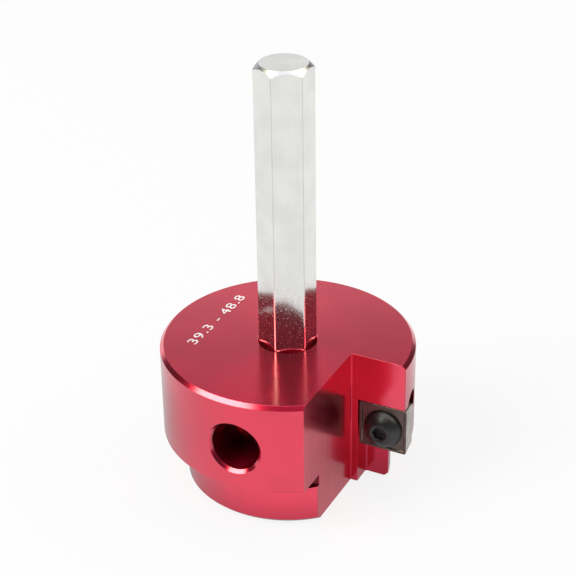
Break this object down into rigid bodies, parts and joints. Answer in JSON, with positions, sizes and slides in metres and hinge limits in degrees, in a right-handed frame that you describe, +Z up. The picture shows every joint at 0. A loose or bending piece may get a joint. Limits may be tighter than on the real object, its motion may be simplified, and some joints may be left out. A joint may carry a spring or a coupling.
{
  "type": "pvc fitting reamer",
  "caption": "Reamer with a pilot and a square carbide insert on a hexagonal shank, for clearing a glued pipe stub out of a plastic pipe fitting.",
  "frame": {"origin": "centre of the pilot's bottom face, on the shank's axis", "axes": "+Z up the shank; the insert's cutting face lies in the XZ plane, on the +X side, and looks towards -Y, so the tool turns clockwise seen from the shank's end"},
  "size_m": [0.0484, 0.048, 0.083],
  "materials": {
    "anodised_body": "satin red anodised",
    "plated_shank": "bright plated",
    "carbide": "ground dark carbide",
    "black_insert_screw": "black oxide",
    "black_set_screw": "black oxide"
  },
  "bodies": {
    "root": {"body": "anodised_body", "shank": "plated_shank", "cutting_insert": "carbide", "insert_screw": "black_insert_screw", "set_screw": "black_set_screw"}
  },
  "joints": []
}
